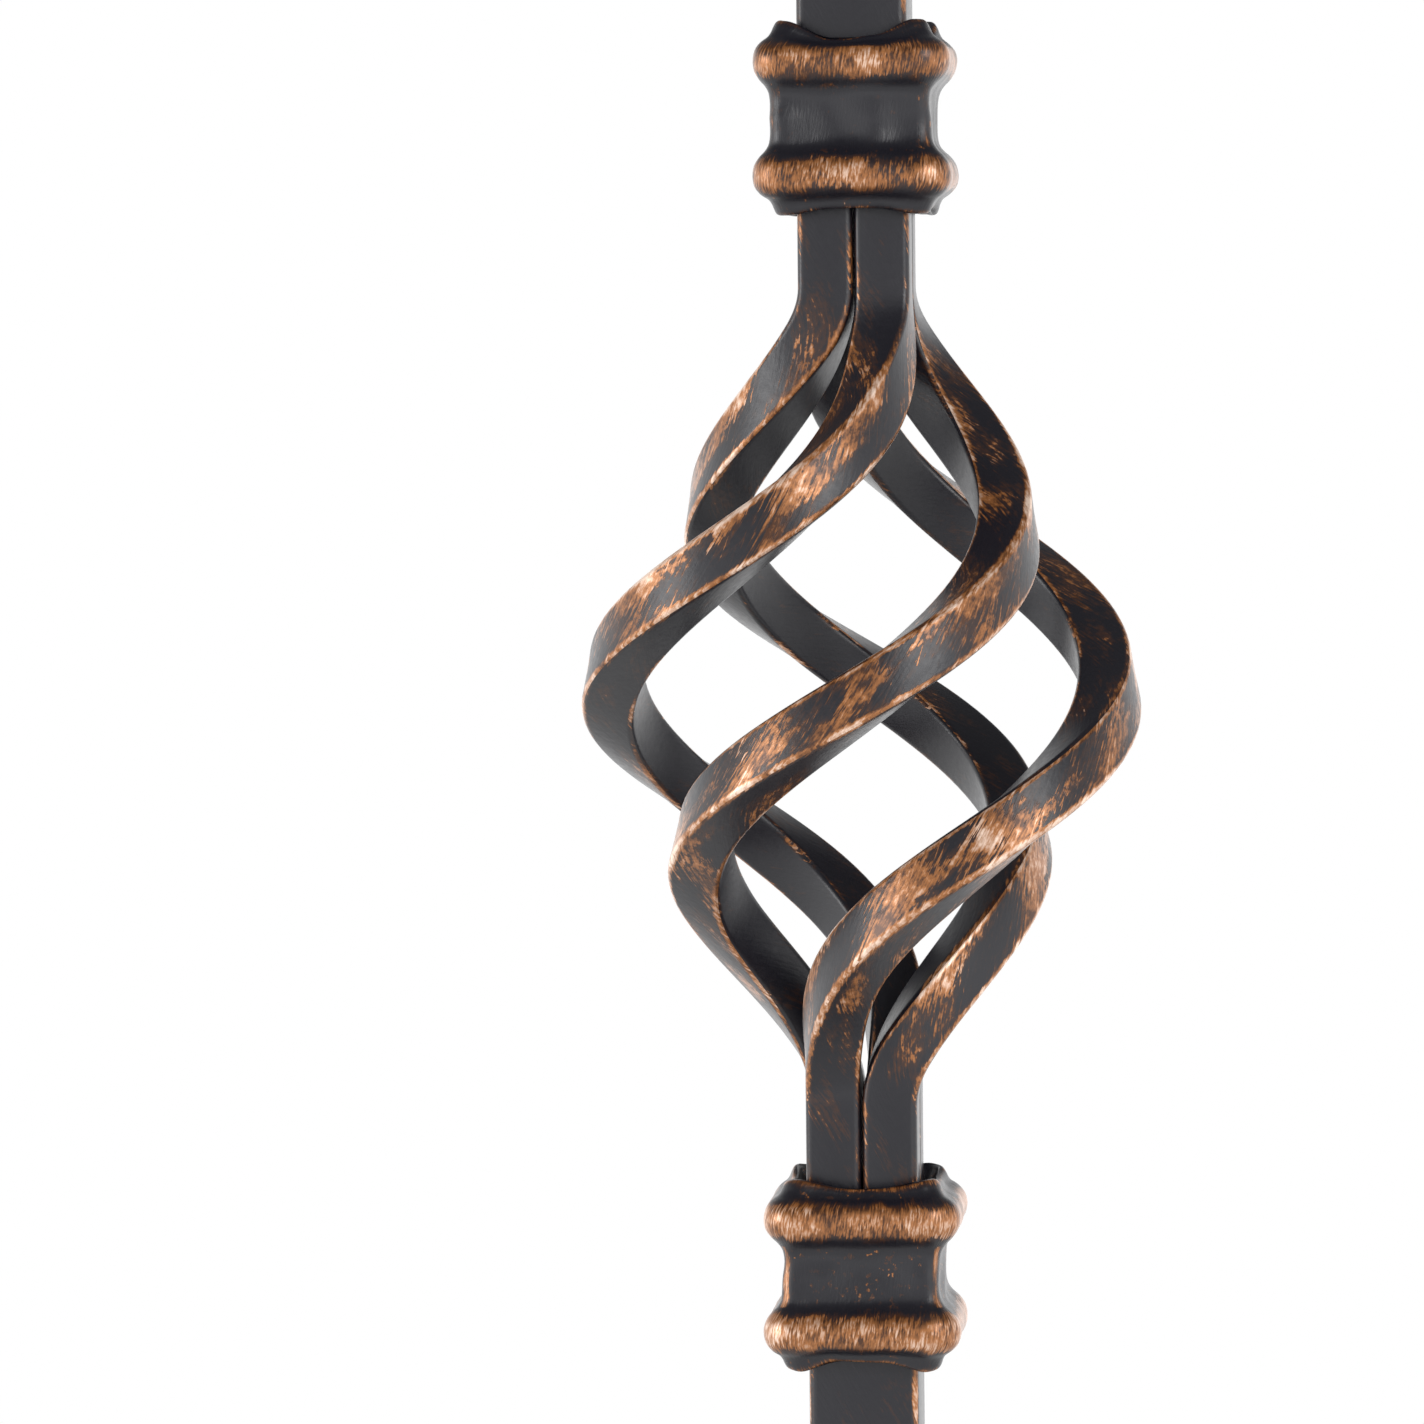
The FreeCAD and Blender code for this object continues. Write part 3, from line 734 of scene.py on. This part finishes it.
class BALUSTER_OT_stage(bpy.types.Operator):
    """Make the pale floor, the soft studio light and the camera"""
    bl_idname = "baluster.stage"
    bl_label = "Stage"

    def execute(self, context):
        self.lay_floor()
        self.light()
        self.aim_camera()
        return {"FINISHED"}

    def lay_floor(self):
        """Round floor under the foot."""
        floor = start_from("floor", bpy.ops.mesh.primitive_circle_add, vertices=96, radius=1.1,
                           fill_type="NGON")
        material = new_material("Pale studio floor")
        tree = material.node_tree
        shader = add_node(tree, "ShaderNodeBsdfPrincipled", Base_Color=rgba(colours().floor), Roughness=0.8)
        add_node(tree, "ShaderNodeOutputMaterial", Surface=shader.outputs[0])
        floor.data.materials.append(material)

    def light(self):
        """White studio around the baluster, and two soft lamps in front of it."""
        scene = bpy.context.scene
        scene.view_settings.view_transform = "Standard"
        world = bpy.data.worlds.new("White studio")
        world.use_nodes = True
        tree = world.node_tree
        tree.nodes.clear()
        path = add_node(tree, "ShaderNodeLightPath")
        ray = add_node(tree, "ShaderNodeTexCoord").outputs["Generated"]
        backward, upward = add_node(tree, "ShaderNodeSeparateXYZ", Vector=ray).outputs[1:]
        # reflections show white walls and floor, with a dim ceiling and a dim room behind the camera
        ceiling = add_node(tree, "ShaderNodeMapRange", SOFT_STEP, Value=upward, From_Min=0.05, From_Max=0.6,
                           To_Min=1.5, To_Max=0.14).outputs[0]
        front = add_node(tree, "ShaderNodeMapRange", SOFT_STEP, Value=backward, From_Min=-1.0,
                         From_Max=-0.93, To_Min=0.5, To_Max=1.05).outputs[0]
        room = add_node(tree, "ShaderNodeMath", {"operation": "MULTIPLY"}, _0=ceiling, _1=front).outputs[0]
        mirrored = add_node(tree, "ShaderNodeMath", {"operation": "MAXIMUM"},
                            _0=path.outputs["Is Glossy Ray"],
                            _1=path.outputs["Is Transmission Ray"]).outputs[0]
        # soft light, stronger from above
        soft = add_node(tree, "ShaderNodeMapRange", SOFT_STEP, Value=upward, From_Min=-0.6, From_Max=0.6,
                        To_Min=0.3, To_Max=0.9).outputs[0]
        lit = add_node(tree, "ShaderNodeMix", {"data_type": "FLOAT"}, _0=mirrored, _2=soft,
                       _3=room).outputs[0]
        seen = add_node(tree, "ShaderNodeMath", {"operation": "MAXIMUM"}, _0=lit,
                        _1=path.outputs["Is Camera Ray"]).outputs[0]
        backdrop = add_node(tree, "ShaderNodeBackground", Color=(1, 1, 1, 1), Strength=seen)
        add_node(tree, "ShaderNodeOutputWorld", Surface=backdrop.outputs[0])
        scene.world = world
        middle = Vector((0, 0, sizes().middle))
        for name, place, width, power in (
            ("key", (0.65, -0.85, 0.4), 0.5, 5.0),
            ("fill", (-1.15, -0.45, 0.15), 0.55, 5.5),
        ):
            lamp = bpy.data.lights.new(name, "AREA")
            lamp.size = width
            lamp.energy = power
            stand = bpy.data.objects.new(name, lamp)
            stand.location = middle + Vector(place)
            stand.rotation_euler = (-Vector(place)).to_track_quat("-Z", "Y").to_euler()
            stand.visible_camera = False
            scene.collection.objects.link(stand)

    def aim_camera(self):
        """Close view of the basket, from a little above and slightly to the right."""
        scene = bpy.context.scene
        distance = 0.885
        rise = 0.0512
        azimuth = math.radians(3.88)
        roll = math.radians(-0.6)
        target_shift = -0.0173
        target_rise = -0.0018
        view_width = 0.165
        middle = sizes().middle
        back = Vector((math.sin(azimuth), -math.cos(azimuth), 0))
        right = Vector((math.cos(azimuth), math.sin(azimuth), 0))
        place = back * distance + Vector((0, 0, middle + rise))
        target = right * target_shift + Vector((0, 0, middle + target_rise))
        lens = bpy.data.cameras.new("camera")
        lens.sensor_width = 36
        lens.lens = lens.sensor_width * distance / view_width
        lens.clip_start = 0.01
        camera = bpy.data.objects.new("camera", lens)
        camera.location = place
        aim = (target - place).to_track_quat("-Z", "Y")
        camera.rotation_euler = (aim.to_matrix() @ Matrix.Rotation(roll, 3, "Z")).to_euler()
        scene.collection.objects.link(camera)
        scene.camera = camera


class BALUSTER_PT_panel(bpy.types.Panel):
    """Steps that make the baluster, in order"""
    bl_idname = "BALUSTER_PT_panel"
    bl_label = "Iron stair baluster"
    bl_space_type = "VIEW_3D"
    bl_region_type = "UI"
    bl_category = "Baluster"

    def draw(self, context):
        for operator in (BALUSTER_OT_bars, BALUSTER_OT_basket_rods, BALUSTER_OT_collars, BALUSTER_OT_stage):
            self.layout.operator(operator.bl_idname)
        for group in (context.scene.baluster_sizes, context.scene.baluster_colours):
            for name in group.bl_rna.properties.keys():
                if name not in ("rna_type", "name"):
                    self.layout.prop(group, name)


CLASSES = (BalusterSizes, BalusterColours, BALUSTER_OT_bars, BALUSTER_OT_basket_rods, BALUSTER_OT_collars,
           BALUSTER_OT_stage, BALUSTER_PT_panel)


def register():
    for made in CLASSES:
        bpy.utils.register_class(made)
    bpy.types.Scene.baluster_sizes = bpy.props.PointerProperty(type=BalusterSizes)
    bpy.types.Scene.baluster_colours = bpy.props.PointerProperty(type=BalusterColours)


def unregister():
    del bpy.types.Scene.baluster_sizes
    del bpy.types.Scene.baluster_colours
    for made in reversed(CLASSES):
        bpy.utils.unregister_class(made)


def main():
    register()
    bpy.ops.baluster.bars()
    bpy.ops.baluster.basket_rods()
    bpy.ops.baluster.collars()
    bpy.ops.baluster.stage()


if __name__ == "__main__":
    main()
